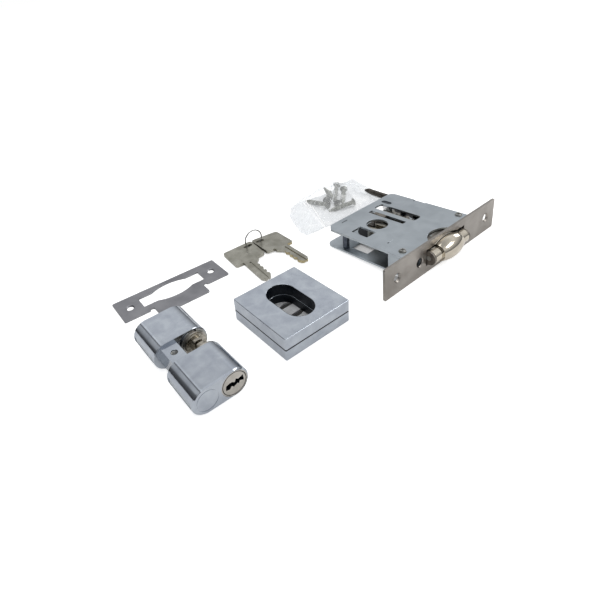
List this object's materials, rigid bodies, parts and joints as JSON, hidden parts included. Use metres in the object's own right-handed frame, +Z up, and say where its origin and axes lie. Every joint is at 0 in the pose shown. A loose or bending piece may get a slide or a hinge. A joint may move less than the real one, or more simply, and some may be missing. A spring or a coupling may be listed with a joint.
{
  "type": "roller mortice door lock set",
  "caption": "Roller mortice lock set laid out flat: lock case with a roller bolt, oval key cylinder, square escutcheons, strike plate, keys on a ring and fixing screws.",
  "frame": {"origin": "middle of the laid-out set's footprint, on the surface that it lies on", "axes": "+X along the lock's faceplate, +Y from the faceplate into the case, +Z up from the table"},
  "size_m": [0.273, 0.1566, 0.0238],
  "materials": {
    "case_steel": "zinc-plated sheet steel",
    "dark_steel": "bare turned steel",
    "zinc_steel": "bright zinc-plated steel",
    "stainless": "brushed stainless steel",
    "bolt_steel": "sintered and nickelled steel",
    "polished_nickel": "polished nickel plate",
    "ground_steel": "ground steel rod",
    "spring_steel": "drawn spring wire",
    "satin_chrome": "satin chrome plate",
    "plain_zinc": "zinc-plated sheet",
    "plug_nickel": "satin nickel over brass",
    "pin_brass": "turned brass",
    "strike_steel": "brushed steel",
    "key_nickel": "nickel-plated brass",
    "ring_steel": "bright steel wire",
    "black_zinc": "dark passivated zinc",
    "bag_film": "clear polyethylene film"
  },
  "bodies": {
    "lock_set": {"case_tray": "case_steel", "cover_plate": "case_steel", "case_posts": "dark_steel", "cover_screws": "zinc_steel", "faceplate": "stainless", "spring_stop": "zinc_steel", "latch_spring": "spring_steel", "cylinder_near": "satin_chrome", "cylinder_far": "satin_chrome", "cylinder_bridge": "dark_steel", "driver_pins": "pin_brass", "pin_springs": "spring_steel", "chamber_covers": "plain_zinc", "lower_escutcheon": "satin_chrome", "fixing_plate": "plain_zinc", "strike_plate": "strike_steel", "key_ring": "ring_steel", "wood_screws": "zinc_steel", "fixing_screw": "black_zinc", "screw_bag": "bag_film"},
    "bolt": {"roller_carriage": "bolt_steel", "bolt_tail": "bolt_steel", "slide_channel": "zinc_steel", "guide_lug": "bolt_steel", "tail_rivets": "zinc_steel", "spring_rod": "ground_steel", "roller_axle": "ground_steel"},
    "roller": {"roller": "polished_nickel"},
    "hub": {"hub": "bolt_steel", "hub_lever": "zinc_steel", "drive_pin": "zinc_steel"},
    "plug_near": {"plug_near": "plug_nickel", "coupling_near": "dark_steel", "clip_near": "dark_steel", "key_pins_near": "pin_brass"},
    "plug_far": {"plug_far": "plug_nickel", "coupling_far": "dark_steel", "clip_far": "dark_steel", "key_pins_far": "pin_brass"},
    "key_left": {"key_left": "key_nickel"},
    "key_right": {"key_right": "key_nickel"},
    "upper_escutcheon": {"upper_escutcheon": "satin_chrome"}
  },
  "joints": [
    {"name": "bolt_slide", "type": "slide", "parent": "lock_set", "child": "bolt", "axis": [0, 0.9989, -0.0473], "range_m": [-0.017, 0.004], "stiffness_N_per_m": 300, "deforming": ["latch_spring"]},
    {"name": "roller_spin", "type": "hinge", "parent": "bolt", "child": "roller", "pos_m": [0.07106, -0.06967, 0.01203], "axis": [1, 0, 0], "continuous": true},
    {"name": "hub_turn", "type": "hinge", "parent": "lock_set", "child": "hub", "pos_m": [0.05706, -0.02002, 0.00968], "axis": [0, 0.0473, 0.9989], "range_deg": [-75.2, 17.8]},
    {"name": "plug_near_turn", "type": "hinge", "parent": "lock_set", "child": "plug_near", "pos_m": [-0.11081, -0.06226, 0.0091], "axis": [0.0366, 0.9993, 0], "continuous": true},
    {"name": "plug_far_turn", "type": "hinge", "parent": "lock_set", "child": "plug_far", "pos_m": [-0.10823, 0.0083, 0.0091], "axis": [0.0366, 0.9993, 0], "continuous": true},
    {"name": "key_left_swing", "type": "hinge", "parent": "lock_set", "child": "key_left", "pos_m": [-0.01465, 0.04763, 0.00268], "axis": [-0.0656, 0.0092, 0.9978], "range_deg": [-5, 0]},
    {"name": "key_right_swing", "type": "hinge", "parent": "lock_set", "child": "key_right", "pos_m": [-0.00779, 0.04692, 0.00268], "axis": [0.0662, -0.004, 0.9978], "range_deg": [0, 5]},
    {"name": "upper_escutcheon_lift", "type": "slide", "parent": "lock_set", "child": "upper_escutcheon", "axis": [0, 0, 1], "range_m": [0, 0.03]}
  ],
  "couplings": [
    {"joint": "hub_turn", "follows": "bolt_slide", "rad_per_m": 77}
  ]
}
